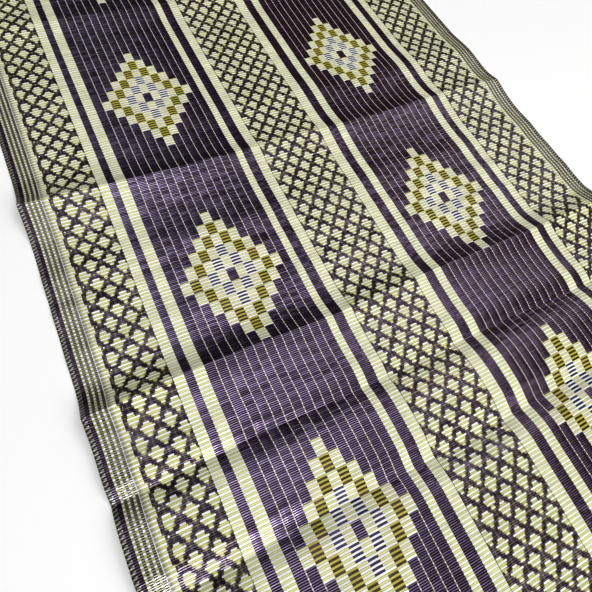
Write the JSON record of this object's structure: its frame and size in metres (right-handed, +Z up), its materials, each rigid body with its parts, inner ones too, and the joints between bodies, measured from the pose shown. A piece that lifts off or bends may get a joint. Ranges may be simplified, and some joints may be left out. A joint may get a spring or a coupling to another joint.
{
  "type": "woven plastic mat",
  "caption": "Long thin floor mat woven from plastic straws, lying flat on its underside with soft crosswise ridges and troughs where it was folded for storage.",
  "frame": {"origin": "on the floor under the middle of the mat", "axes": "+X across the mat along its straws, +Y along its warp towards the far end, +Z up from the floor"},
  "size_m": [0.9, 1.8, 0.0165],
  "materials": {
    "plastic_straw": "woven flattened polypropylene straws, dark purple with cream bands, soft gloss"
  },
  "bodies": {
    "root": {"mat": "plastic_straw"}
  },
  "joints": []
}
